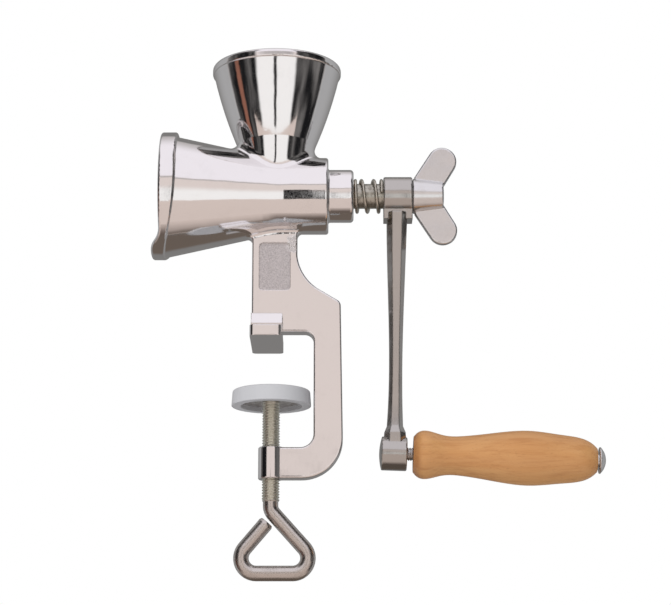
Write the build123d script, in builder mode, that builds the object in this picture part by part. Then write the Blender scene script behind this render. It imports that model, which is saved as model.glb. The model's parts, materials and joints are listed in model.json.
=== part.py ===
from build123d import *
import math
import os

# Hand crank grinder for nuts and seeds, clamped to the edge of a table.
# Millimetres, +Z up, +X towards the crank, -Y towards the front.
# The origin is where the clamp screw's axis meets the face of the upper jaw.

# ---------------------------------------------------------------- driving sizes
# barrel and bell
barrel_axis_z = 70.0        # height of the shaft above the jaw's face
barrel_r = 17.7             # outside of the barrel's round rear
barrel_rear_x = 25.7        # rear face of the barrel
bell_slope = 0.218          # growth of the bell's radius per mm towards the mouth
bell_corner_x = 0.5         # where the bell's side would meet the barrel's
bell_blend_r = 45.0         # bend between bell and barrel
bell_wall = 3.0             # wall of the bell
mouth_x = -51.0             # front of the mouth at its upper part
lip_reach = 4.3             # how far the lower lip stands out in front of that
lip_start_z = 50.0          # where the lip starts to reach out
lip_full_z = 41.5           # where it has reached its full length
mouth_band_r = 29.5         # outside of the band around the mouth
mouth_band_w = 7.5          # width of the band at the top
mouth_band_lip_w = 4.8      # width of the band at the lip
rear_boss_r = 12.2
rear_boss_x = 37.3          # rear face of the boss that carries the bush
chamber_r = 13.9            # bore that the auger turns in
chamber_wall_x = 21.8       # inner face of the barrel's rear wall

# hopper
hopper_axis_x = 1.6
hopper_rim_z = 132.0        # top of the rolled rim
hopper_rim_r = 29.9         # outside of the rolled rim
hopper_rim_h = 3.8          # height of the rim's band
hopper_top_r = 29.2         # outside just under the rim
hopper_mid_r = 23.15
hopper_mid_z = 107.0
hopper_low_r = 18.2
hopper_low_z = 94.0
hopper_foot_r = 11.5        # where the side would meet the shaft's height
hopper_wall = 2.6
throat_r = 11.5             # passage from the hopper to the auger
throat_z = 82.0             # top of that passage
saddle_fillet_r = 4.0       # fillet between hopper and barrel

# neck, C frame, jaw foot and screw boss
frame_t = 8.0               # thickness front to back
frame_left_x = -9.1
frame_edge_r = 0.9          # rounding of the frame's edges
neck_fillet_r = 2.5         # fillet between neck and barrel
neck_right_x = 11.5
arm_in_x = 19.1             # inner edge of the upright arm
arm_out_x = 31.4            # outer edge of the arm at its top
arm_foot_out_x = 32.6       # outer edge of the arm at its foot
shoulder_z = 19.1           # height of the shoulder's corner
shoulder_rise = 31.0        # slope of the shoulder, degrees
window_top_z = 5.0
lower_arm_top_z = -47.8
lower_arm_bottom_z = -61.9
foot_w = 14.0               # jaw foot along X
foot_depth = 40.0           # jaw foot front to back
foot_t = 4.8
foot_sweep_r = 9.0          # hollow sweep from the foot up to the frame
screw_boss_r = 5.7
panel_left_x = -5.8
panel_right_x = 8.3
panel_top_z = 46.8
panel_bottom_z = 24.6
panel_depth = 0.8

# shaft, auger and burrs
journal_r = 5.75
running_gap = 0.04          # radial clearance of the running fits
auger_r = 13.5
auger_core_r = 6.5
auger_pitch = 20.0
auger_rib = 3.2             # thickness of the flight at its root
auger_tip = 2.0             # thickness of the flight at its edge
collar_r = 10.2             # collar behind the auger
collar_w = 2.0
washer_t = 1.5              # washer behind the collar
bush_flange_r = 10.6
bush_flange_t = 1.5
bush_r = 8.0
bush_fit = 0.02             # clearance of the bush in the boss
square_af = 8.0             # square that drives the crank, across flats
tail_r = 4.0                # M8 thread at both ends of the shaft
nose_r = 5.0                # spigot that carries the cone
nose_af = 8.2               # across the spigot's two flats
burr_front_x = -48.6
burr_seat_x = -24.0         # shoulder that the fixed burr is wedged against
burr_in_r = 23.5            # fixed burr, inside at its front
burr_slope = 0.326          # taper of the grinding gap
burr_gap = 0.45             # gap between the burrs
burr_teeth = 22
burr_fit = 0.03             # clearance of the fixed burr in the bell
key_w = 5.0
key_h = 1.1
key_l = 5.0
cone_front_x = -49.2
cone_rear_x = -24.4
cone_teeth = 20
cone_skew = 9.0             # degrees that a groove runs round the cone
cone_recess_r = 10.6
cone_recess_depth = 7.5
cone_washer_r = 8.2
cone_washer_t = 1.6
cone_nut_af = 13.0
cone_nut_h = 5.5
cone_nut_dome = 3.4

# spring
spring_r = 7.3              # radius of the coils at the wire's centre
spring_wire = 1.5
spring_turns = 3.25
spring_seat_gap = 0.1

# crank
hub_x = 51.1                # face of the hub towards the spring
hub_w = 13.3
hub_r = 8.9
skirt_drop = 11.8           # foot of the skirt under the hub, from the shaft's axis
skirt_t = 10.0              # skirt, front to back
arm_mid_w = 7.8
arm_mid_t = 12.2
arm_low_x = 55.7
shoulder_from = 108.5       # where the arm starts to widen, below the shaft
shoulder_w = 10.6
shoulder_t = 12.6
arm_top_x = 57.3            # middle of the arm at the hub
arm_top_w = 9.0
arm_top_t = 14.0            # front to back
arm_low_w = 7.3
arm_low_t = 10.6
eye_x = 55.4                # middle of the eye
eye_drop = 120.3            # eye below the shaft
eye_r = 7.6
eye_w = 11.4
eye_dome = 1.1              # bulge of the eye's outer face
grip_droop = 1.9            # degrees that the handle's axis dips
crank_set_in = 2.5          # how far the wing nut can push the crank inwards
hub_counterbore = 4.9       # room for the journal when it does
counterbore_r = 5.95
square_gap = 0.06           # clearance of the square, each side

# wing nut
nut_gap = 0.2               # from the hub's face
nut_thread_gap = 0.08
nut_w = 14.0
nut_inner_r = 8.2
nut_outer_r = 6.4
nut_dome = 0.5
wing_t = 3.4
wing_span_r = 23.2          # tip of a wing from the shaft's axis
wing_lobe_r = 6.7
wing_reach = 20.4           # outer side of a wing from the nut's inner face

# handle
bolt_r = 3.0                # M6
bolt_hole_gap = 0.05
bolt_head_r = 6.0
bolt_head_h = 3.1
bolt_float = 0.9            # end play of the grip
neck_len = 2.8              # bare thread between eye and grip
grip_len = 82.5
grip_end_r = 8.5
grip_front_r = 10.5
grip_waist_r = 8.9
grip_belly_r = 12.3
grip_tail_r = 7.6
grip_bore_gap = 0.1

# clamp
screw_r = 4.0               # M8
screw_hole_gap = 0.06
rod_r = 3.45                # plain rod of the loop
thread_bottom_z = -72.1
loop_bend_z = -75.9
loop_z = -104.0             # middle of the loop's lower bar
loop_right_x = 25.2
loop_left_x = -20.9
loop_end_x = -1.6
loop_end_z = -81.2
loop_corner_r = 6.8
loop_neck_r = 5.5
pad_top_z = -21.6           # pad's face, under the jaw
pad_r = 18.0
pad_draft = 0.5             # the cap is narrower at its top by this much
pad_h = 7.1
pad_edge = 1.0
pad_recess_r = 13.9
pad_recess = 2.1
disc_t = 2.0
disc_r = 14.3
disc_gap = 0.05
pad_pocket = 1.4            # room above the disc for the screw's peened tip
pad_pocket_r = 6.0
tip_neck_r = 2.8
tip_head_r = 4.4
tip_head_h = 1.2

# ---------------------------------------------------------------- derived places
shaft_axis = Axis((0, 0, barrel_axis_z), (1, 0, 0))
along = Plane(origin=(0, 0, barrel_axis_z), x_dir=(1, 0, 0), z_dir=(0, -1, 0))
front = Plane(origin=(0, 0, 0), x_dir=(1, 0, 0), z_dir=(0, -1, 0))
side = Plane(origin=(0, 0, 0), x_dir=(0, 1, 0), z_dir=(1, 0, 0))


def across(x):
    """Plane square to the shaft at x; its own x runs along +Y and its y along +Z."""
    return Plane(origin=(x, 0, barrel_axis_z), x_dir=(0, 1, 0), z_dir=(1, 0, 0))


def bell_r(x):
    """Outside radius of the bell at x."""
    return barrel_r + (bell_corner_x - x) * bell_slope


def seat_r(x):
    """Radius of the tapered seat inside the bell at x."""
    return bell_r(x) - bell_wall


def burr_r(x):
    """Inside radius of the fixed burr at x."""
    return burr_in_r + (burr_front_x - x) * burr_slope


lip_x = mouth_x - lip_reach
past_mouth_x = lip_x - 4
flange_x = chamber_wall_x - bush_flange_t
washer_x = flange_x - washer_t
collar_x = washer_x - 0.1                            # rear face of the collar
key_out_r = seat_r(burr_front_x + key_l) + key_h
key_in_r = burr_r(burr_front_x) + 0.8
recess_floor_x = cone_front_x + cone_recess_depth
nut_seat_x = recess_floor_x - cone_washer_t
hub_end_x = hub_x + hub_w
square_x = hub_x + 2.0                               # where the square starts
square_end_x = hub_end_x - crank_set_in - 0.1
nut_x = hub_end_x + nut_gap
tail_end_x = nut_x + nut_w - 1.6
skirt_z = barrel_axis_z - skirt_drop
shoulder_from_z = barrel_axis_z - shoulder_from
eye_z = barrel_axis_z - eye_drop
handle_dir = (math.cos(math.radians(grip_droop)), 0, -math.sin(math.radians(grip_droop)))
handle = Plane(origin=(eye_x, 0, eye_z), x_dir=handle_dir, z_dir=(0, -1, 0))
handle_axis = Axis((eye_x, 0, eye_z), handle_dir)
grip_from = eye_w / 2 + neck_len
grip_to = grip_from + grip_len
pad_bottom_z = pad_top_z - pad_h
disc_bottom_z = pad_bottom_z + pad_recess
disc_top_z = disc_bottom_z + disc_t

# ---------------------------------------------------------------- body casting
with BuildPart() as body_casting:
    # band around the mouth: a slab with a reaching lower lip, turned round
    with BuildSketch(front):
        with BuildLine():
            half_z = (lip_start_z + lip_full_z) / 2
            half_x = mouth_x - lip_reach / 2
            Line((mouth_x, 110), (mouth_x, lip_start_z))
            TangentArc((mouth_x, lip_start_z), (half_x, half_z), tangent=(0, -1))
            TangentArc((lip_x, lip_full_z), (half_x, half_z), tangent=(0, 1))
            Line((lip_x, lip_full_z), (lip_x, 30))
            Line((lip_x, 30), (lip_x + mouth_band_lip_w, 30))
            Line((lip_x + mouth_band_lip_w, 30), (lip_x + mouth_band_lip_w, 38))
            back_x = mouth_x + mouth_band_w
            TangentArc(
                (back_x, barrel_axis_z + 3),
                (lip_x + mouth_band_lip_w, 38),
                tangent=(0, -1),
            )
            Line((back_x, barrel_axis_z + 3), (back_x, 110))
            Line((back_x, 110), (mouth_x, 110))
        make_face()
    extrude(amount=40, both=True)
    with BuildSketch(across(past_mouth_x)):
        Circle(mouth_band_r)
    extrude(amount=40, mode=Mode.INTERSECT)
    fillet(edges().filter_by(GeomType.LINE, reverse=True), 1.1)
    # bell, barrel and rear boss
    with BuildSketch(along):
        with BuildLine():
            shown = Polyline(
                (mouth_x + 1.5, 0),
                (mouth_x + 1.5, bell_r(mouth_x + 1.5)),
                (bell_corner_x, barrel_r),
                (barrel_rear_x, barrel_r),
                (barrel_rear_x, rear_boss_r),
                (rear_boss_x, rear_boss_r),
                (rear_boss_x, 0),
                close=True,
            )
        make_face()
        bend = vertices().sort_by_distance((bell_corner_x, barrel_r))[0]
        fillet(bend, bell_blend_r)
        fillet(vertices().sort_by_distance((barrel_rear_x, barrel_r))[0], 1.2)
        fillet(vertices().sort_by_distance((barrel_rear_x, rear_boss_r))[0], 0.8)
        fillet(vertices().sort_by_distance((rear_boss_x, rear_boss_r))[0], 1.6)
    revolve(axis=shaft_axis)
    # hopper with its rolled rim, standing on the barrel
    with BuildSketch(front):
        with BuildLine():
            rim_foot_z = hopper_rim_z - hopper_rim_h
            Polyline(
                (hopper_axis_x, barrel_axis_z),
                (hopper_axis_x, hopper_rim_z),
                (hopper_axis_x + hopper_rim_r, hopper_rim_z),
                (hopper_axis_x + hopper_rim_r, rim_foot_z),
                (hopper_axis_x + hopper_top_r, rim_foot_z),
            )
            ThreePointArc(
                (hopper_axis_x + hopper_top_r, rim_foot_z),
                (hopper_axis_x + hopper_mid_r, hopper_mid_z),
                (hopper_axis_x + hopper_low_r, hopper_low_z),
            )
            Polyline(
                (hopper_axis_x + hopper_low_r, hopper_low_z),
                (hopper_axis_x + hopper_foot_r, barrel_axis_z),
                (hopper_axis_x, barrel_axis_z),
            )
        make_face()
        fillet(vertices().sort_by_distance((hopper_axis_x + hopper_rim_r, hopper_rim_z))[0], 1.6)
        fillet(vertices().sort_by_distance((hopper_axis_x + hopper_rim_r, rim_foot_z))[0], 0.5)
    revolve(axis=Axis((hopper_axis_x, 0, 0), (0, 0, 1)))
    saddle = edges(Select.NEW).filter_by(lambda e: e.bounding_box().max.Z < hopper_low_z - 1)
    fillet(saddle, saddle_fillet_r)
    # neck and C frame, one flat outline
    with BuildSketch(front):
        with BuildLine():
            knee_rise = math.tan(math.radians(shoulder_rise)) * (arm_out_x - neck_right_x)
            knee_z = shoulder_z + knee_rise
            Polyline(
                (frame_left_x, barrel_axis_z - 8),
                (frame_left_x, 1),
                (frame_left_x + foot_w - 0.6, 1),
                (frame_left_x + foot_w - 0.6, window_top_z),
                (arm_in_x, window_top_z),
                (arm_in_x, lower_arm_top_z),
                (0, lower_arm_top_z),
                (0, lower_arm_bottom_z),
                (arm_foot_out_x, lower_arm_bottom_z),
                (arm_out_x, shoulder_z),
                (neck_right_x, knee_z),
                (neck_right_x, barrel_axis_z - 8),
                close=True,
            )
        make_face()
        fillet(vertices().sort_by_distance((arm_in_x, window_top_z))[0], 4.0)
        fillet(vertices().sort_by_distance((arm_in_x, lower_arm_top_z))[0], 6.0)
        fillet(vertices().sort_by_distance((arm_foot_out_x, lower_arm_bottom_z))[0], 18.5)
        fillet(vertices().sort_by_distance((arm_out_x, shoulder_z))[0], 3.2)
        fillet(vertices().sort_by_distance((neck_right_x, knee_z))[0], 21.0)
    extrude(amount=frame_t / 2, both=True)
    rims = edges().filter_by(lambda e: abs(abs(e.center().Y) - frame_t / 2) < 0.01)
    rims = rims.filter_by(lambda e: e.bounding_box().size.Y < 0.01 and e.center().Z < 50)
    fillet(rims, frame_edge_r)
    neck = edges().filter_by(lambda e: 46 < e.center().Z < 54 and abs(e.center().Y) < 4.01)
    neck = neck.filter_by(lambda e: abs(e.center().X - 1.2) < 10.4 and e.bounding_box().size.Z < 4)
    fillet(neck, neck_fillet_r)
    # jaw foot with its hollow sweeps up to the frame
    with BuildSketch(side.offset(frame_left_x - 0.3)):
        with BuildLine():
            half_t = frame_t / 2
            half_d = foot_depth / 2
            sweep_y = half_t + foot_sweep_r
            sweep_z = foot_t + foot_sweep_r
            Line((-half_d, 0), (half_d, 0))
            Line((half_d, 0), (half_d, foot_t))
            Line((half_d, foot_t), (sweep_y, foot_t))
            RadiusArc((sweep_y, foot_t), (half_t, sweep_z), foot_sweep_r)
            Line((half_t, sweep_z), (-half_t, sweep_z))
            RadiusArc((-half_t, sweep_z), (-sweep_y, foot_t), foot_sweep_r)
            Line((-sweep_y, foot_t), (-half_d, foot_t))
            Line((-half_d, foot_t), (-half_d, 0))
        make_face()
    extrude(amount=foot_w + 0.3)
    tips = edges().filter_by(lambda e: abs(abs(e.center().Y) - half_d) < 0.01)
    fillet(tips.filter_by(Axis.Z), 2.0)
    # boss around the clamp screw
    with BuildSketch(front):
        with BuildLine():
            boss_top_z = lower_arm_top_z + 0.3
            boss_foot_z = lower_arm_bottom_z - 0.1
            Polyline(
                (0, boss_foot_z),
                (screw_boss_r - 0.4, boss_foot_z),
                (screw_boss_r, boss_foot_z + 0.4),
                (screw_boss_r, boss_top_z - 0.4),
                (screw_boss_r - 0.4, boss_top_z),
                (0, boss_top_z),
                close=True,
            )
        make_face()
    revolve(axis=Axis.Z)
    # inside of the bell, of the barrel and of the rear boss
    with BuildSketch(along):
        with BuildLine():
            Polyline(
                (past_mouth_x, 0),
                (past_mouth_x, seat_r(past_mouth_x)),
                (burr_seat_x, seat_r(burr_seat_x)),
                (burr_seat_x, chamber_r),
                (chamber_wall_x, chamber_r),
                (chamber_wall_x, bush_r + bush_fit),
                (rear_boss_x + 1, bush_r + bush_fit),
                (rear_boss_x + 1, 0),
                close=True,
            )
        make_face()
    revolve(axis=shaft_axis, mode=Mode.SUBTRACT)
    # key slot for the fixed burr
    with BuildSketch(across(past_mouth_x)):
        with Locations((0, -key_out_r - 0.1)):
            Rectangle(key_w + 0.2, key_out_r, align=(Align.CENTER, Align.MIN))
    extrude(amount=burr_front_x + key_l + 0.2 - past_mouth_x, mode=Mode.SUBTRACT)
    # inside of the hopper
    with BuildSketch(front):
        with BuildLine():
            Polyline(
                (hopper_axis_x, barrel_axis_z),
                (hopper_axis_x, hopper_rim_z + 1),
                (hopper_axis_x + hopper_top_r - hopper_wall + 0.9, hopper_rim_z + 1),
                (hopper_axis_x + hopper_top_r - hopper_wall, rim_foot_z),
            )
            ThreePointArc(
                (hopper_axis_x + hopper_top_r - hopper_wall, rim_foot_z),
                (hopper_axis_x + hopper_mid_r - hopper_wall, hopper_mid_z),
                (hopper_axis_x + hopper_low_r - hopper_wall, hopper_low_z),
            )
            Polyline(
                (hopper_axis_x + hopper_low_r - hopper_wall, hopper_low_z),
                (hopper_axis_x + throat_r, throat_z),
                (hopper_axis_x + throat_r, barrel_axis_z),
                (hopper_axis_x, barrel_axis_z),
            )
        make_face()
    revolve(axis=Axis((hopper_axis_x, 0, 0), (0, 0, 1)), mode=Mode.SUBTRACT)
    # sunk panel on the neck's front
    with BuildSketch(front.offset(frame_t / 2)):
        with Locations(((panel_left_x + panel_right_x) / 2, (panel_top_z + panel_bottom_z) / 2)):
            RectangleRounded(panel_right_x - panel_left_x, panel_top_z - panel_bottom_z, 1.6)
    extrude(amount=-panel_depth, mode=Mode.SUBTRACT)
    # hole for the clamp screw
    with BuildSketch(Plane.XY.offset(lower_arm_bottom_z - 2)):
        Circle(screw_r + screw_hole_gap)
    extrude(amount=lower_arm_top_z - lower_arm_bottom_z + 4, mode=Mode.SUBTRACT)
body_casting.part.label = "body_casting"
export_step(body_casting.part, "parts/body_casting.step")

# ---------------------------------------------------------------- rear bush
with BuildPart() as rear_bush:
    with BuildSketch(along):
        with BuildLine():
            Polyline(
                (flange_x, journal_r + running_gap),
                (flange_x, bush_flange_r),
                (chamber_wall_x, bush_flange_r),
                (chamber_wall_x, bush_r),
                (rear_boss_x - 0.2, bush_r),
                (rear_boss_x - 0.2, journal_r + running_gap),
                close=True,
            )
        make_face()
    revolve(axis=shaft_axis)
rear_bush.part.label = "rear_bush"
export_step(rear_bush.part, "parts/rear_bush.step")

# ---------------------------------------------------------------- fixed burr
with BuildPart() as ring_groove:
    # one V groove, deeper towards the rear, laid on the inner cone at the top
    with BuildSketch(across(burr_front_x - 1)):
        with BuildLine():
            groove_z = burr_r(burr_front_x - 1)
            Polyline((-1.2, groove_z - 1), (1.2, groove_z - 1), (0, groove_z + 0.7), close=True)
        make_face()
    with BuildSketch(across(burr_seat_x + 1)):
        with BuildLine():
            groove_z = burr_r(burr_seat_x + 1)
            Polyline((-1.9, groove_z - 1), (1.9, groove_z - 1), (0, groove_z + 2.0), close=True)
        make_face()
    loft(ruled=True)
with BuildPart() as fixed_burr:
    with BuildSketch(along):
        with BuildLine():
            Polyline(
                (burr_front_x, burr_r(burr_front_x)),
                (burr_front_x, seat_r(burr_front_x) - burr_fit),
                (burr_seat_x - 0.05, seat_r(burr_seat_x - 0.05) - burr_fit),
                (burr_seat_x - 0.05, burr_r(burr_seat_x - 0.05)),
                close=True,
            )
        make_face()
    revolve(axis=shaft_axis)
    for i in range(burr_teeth):
        turned = ring_groove.part.rotate(shaft_axis, 360 * i / burr_teeth)
        add(turned, mode=Mode.SUBTRACT)
    # key that stops it from turning
    with BuildSketch(across(burr_front_x)):
        with Locations((0, -key_out_r)):
            Rectangle(key_w, key_out_r - key_in_r, align=(Align.CENTER, Align.MIN))
    extrude(amount=key_l)
fixed_burr.part.label = "fixed_burr"
export_step(fixed_burr.part, "parts/fixed_burr.step")

# ---------------------------------------------------------------- auger shaft
with BuildPart() as flight:
    # core standing upright, with a rib wound left-handed round it
    core_l = collar_x - collar_w - cone_rear_x
    Cylinder(auger_core_r, core_l + 0.5, align=(Align.CENTER, Align.CENTER, Align.MIN))
    with BuildLine() as flight_line:
        Helix(
            auger_pitch,
            core_l - auger_rib + 0.6,
            auger_core_r,
            center=(0, 0, auger_rib / 2 + 0.3),
            lefthand=True,
        )
    with BuildSketch(Plane(origin=flight_line.line @ 0, x_dir=(0, 0, 1), z_dir=(0, 1, 0))):
        with BuildLine():
            Polyline(
                (-auger_rib / 2, -0.8),
                (auger_rib / 2, -0.8),
                (auger_tip / 2, auger_r - auger_core_r),
                (-auger_tip / 2, auger_r - auger_core_r),
                close=True,
            )
        make_face()
    sweep(path=flight_line.line, is_frenet=True)
with BuildPart() as auger_shaft:
    with BuildSketch(along):
        with BuildLine():
            Polyline(
                (cone_front_x - 0.8, 0),
                (cone_front_x - 0.8, tail_r - 0.8),
                (cone_front_x, tail_r),
                (recess_floor_x + 0.4, tail_r),
                (recess_floor_x + 0.4, nose_r),
                (collar_x - collar_w, nose_r),
                (collar_x - collar_w, collar_r),
                (collar_x, collar_r),
                (collar_x, journal_r),
                (square_end_x, journal_r),
                (square_end_x, tail_r),
                (tail_end_x - 0.8, tail_r),
                (tail_end_x, tail_r - 0.8),
                (tail_end_x, 0),
                close=True,
            )
        make_face()
    revolve(axis=shaft_axis)
    # square that drives the crank
    with BuildSketch(across(square_x)):
        Rectangle(30, 30)
        Rectangle(square_af, square_af, mode=Mode.SUBTRACT)
    extrude(amount=square_end_x - square_x, mode=Mode.SUBTRACT)
    # two flats that drive the cone
    with BuildSketch(across(recess_floor_x + 0.4)):
        Rectangle(30, 30)
        Rectangle(30, nose_af, mode=Mode.SUBTRACT)
    extrude(amount=cone_rear_x - recess_floor_x - 0.4, mode=Mode.SUBTRACT)
    # core and flight, laid along the shaft
    add(flight.part.moved(Location((cone_rear_x, 0, barrel_axis_z), (180, 90, 0))))
auger_shaft.part.label = "auger_shaft"
export_step(auger_shaft.part, "parts/auger_shaft.step")

# ---------------------------------------------------------------- thrust washer
with BuildPart() as thrust_washer:
    with BuildSketch(across(washer_x)):
        Circle(collar_r)
        Circle(journal_r + running_gap, mode=Mode.SUBTRACT)
    extrude(amount=washer_t)
thrust_washer.part.label = "thrust_washer"
export_step(thrust_washer.part, "parts/thrust_washer.step")

# ---------------------------------------------------------------- grinding cone
with BuildPart() as cone_groove:
    # one V groove, deeper towards the rear and skewed round the cone
    with BuildSketch(across(cone_front_x - 1)):
        with BuildLine():
            groove_z = burr_r(cone_front_x - 1) - burr_gap
            Polyline((-1.4, groove_z + 1), (1.4, groove_z + 1), (0, groove_z - 0.8), close=True)
        make_face()
    with BuildSketch(across(cone_rear_x + 1).rotated((0, 0, cone_skew))):
        with BuildLine():
            groove_z = burr_r(cone_rear_x + 1) - burr_gap
            Polyline((-2.0, groove_z + 1), (2.0, groove_z + 1), (0, groove_z - 3.0), close=True)
        make_face()
    loft(ruled=True)
with BuildPart() as grinding_cone:
    with BuildSketch(along):
        with BuildLine():
            Polyline(
                (cone_front_x, cone_recess_r),
                (cone_front_x, burr_r(cone_front_x) - burr_gap),
                (cone_rear_x, burr_r(cone_rear_x) - burr_gap),
                (cone_rear_x, 0),
                (recess_floor_x, 0),
                (recess_floor_x, cone_recess_r),
                close=True,
            )
        make_face()
    revolve(axis=shaft_axis)
    for i in range(cone_teeth):
        turned = cone_groove.part.rotate(shaft_axis, 360 * i / cone_teeth)
        add(turned, mode=Mode.SUBTRACT)
    # bore for the spigot, with two flats
    with BuildSketch(across(recess_floor_x - 1)):
        Circle(nose_r + running_gap)
        Rectangle(30, nose_af + 2 * running_gap, mode=Mode.INTERSECT)
    extrude(amount=cone_rear_x - recess_floor_x + 2, mode=Mode.SUBTRACT)
grinding_cone.part.label = "grinding_cone"
export_step(grinding_cone.part, "parts/grinding_cone.step")

# ---------------------------------------------------------------- cone washer
with BuildPart() as cone_washer:
    with BuildSketch(across(nut_seat_x)):
        Circle(cone_washer_r)
        Circle(tail_r + 0.1, mode=Mode.SUBTRACT)
    extrude(amount=cone_washer_t)
cone_washer.part.label = "cone_washer"
export_step(cone_washer.part, "parts/cone_washer.step")

# ---------------------------------------------------------------- cone nut
with BuildPart() as cone_nut:
    with BuildSketch(across(nut_seat_x - cone_nut_h)):
        RegularPolygon(cone_nut_af / 2, 6, major_radius=False)
    extrude(amount=cone_nut_h)
    # the corners are turned off towards the dome
    with BuildSketch(along):
        with BuildLine():
            Line((nut_seat_x, 0), (nut_seat_x, 10))
            Line((nut_seat_x, 10), (nut_seat_x - cone_nut_h + 1.6, 10))
            Line((nut_seat_x - cone_nut_h + 1.6, 10), (nut_seat_x - cone_nut_h, cone_nut_af / 2 - 0.4))
            Line((nut_seat_x - cone_nut_h, cone_nut_af / 2 - 0.4), (nut_seat_x - cone_nut_h, 0))
            Line((nut_seat_x - cone_nut_h, 0), (nut_seat_x, 0))
        make_face()
    revolve(axis=shaft_axis, mode=Mode.INTERSECT)
    with BuildSketch(along):
        with BuildLine():
            dome_x = nut_seat_x - cone_nut_h
            dome_r = cone_nut_af / 2 - 0.8
            Line((dome_x + 1, 0), (dome_x + 1, dome_r))
            Line((dome_x + 1, dome_r), (dome_x, dome_r))
            TangentArc((dome_x - cone_nut_dome, 0), (dome_x, dome_r), tangent=(0, 1))
            Line((dome_x - cone_nut_dome, 0), (dome_x + 1, 0))
        make_face()
    revolve(axis=shaft_axis)
    with BuildSketch(across(cone_front_x - 1.4)):
        Circle(tail_r + 0.08)
    extrude(amount=nut_seat_x - cone_front_x + 2, mode=Mode.SUBTRACT)
cone_nut.part.label = "cone_nut"
export_step(cone_nut.part, "parts/cone_nut.step")

# ---------------------------------------------------------------- pressure spring


def coil(u):
    """Point of the wire's centre after u turns from the boss; flat at both ends."""
    turn = 2 * math.pi * u
    ease = (1 - math.cos(math.pi * u / spring_turns)) / 2
    x = coil_from_x + (coil_to_x - coil_from_x) * ease
    return Vector(x, -spring_r * math.sin(turn), barrel_axis_z + spring_r * math.cos(turn))


def heading(u):
    """Direction of the wire after u turns."""
    return (coil(u + 0.0005) - coil(u - 0.0005)).normalized()


coil_from_x = rear_boss_x + spring_wire / 2 + spring_seat_gap
coil_to_x = hub_x - spring_wire / 2 - spring_seat_gap
coil_steps = round(spring_turns * 4)
with BuildPart() as pressure_spring:
    with BuildLine() as wire_line:
        for i in range(coil_steps):
            p0 = coil(spring_turns * i / coil_steps)
            p1 = coil(spring_turns * (i + 1) / coil_steps)
            t0 = heading(spring_turns * i / coil_steps)
            t1 = heading(spring_turns * (i + 1) / coil_steps)
            chord = p1 - p0
            both = t0 + t1
            lean = chord.dot(both)
            spread = 2 * (1 - t0.dot(t1))
            reach = (math.sqrt(lean * lean + spread * chord.dot(chord)) - lean) / spread
            middle = ((p0 + t0 * reach) + (p1 - t1 * reach)) * 0.5
            TangentArc(p0, middle, tangent=t0)
            TangentArc(p1, middle, tangent=t1 * -1)
    with BuildSketch(Plane(origin=coil(0), z_dir=heading(0))):
        Circle(spring_wire / 2)
    sweep(path=wire_line.wire())
pressure_spring.part.label = "pressure_spring"
export_step(pressure_spring.part, "parts/pressure_spring.step")
steps = [coil(i / 40) for i in range(round(spring_turns * 40) + 1)]
apart = [(a - b).length for i, a in enumerate(steps) for b in steps[i + 20:]]
print("least gap between the spring's coils", round(min(apart) - spring_wire, 2))

# ---------------------------------------------------------------- crank


def eight_corners(half_x, half_y):
    """Corners of the arm's eight-sided section."""
    flat = half_x * 0.48
    cheek = half_y * 0.58
    return [
        (half_x, -cheek),
        (half_x, cheek),
        (flat, half_y),
        (-flat, half_y),
        (-half_x, cheek),
        (-half_x, -cheek),
        (-flat, -half_y),
        (flat, -half_y),
    ]


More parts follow.
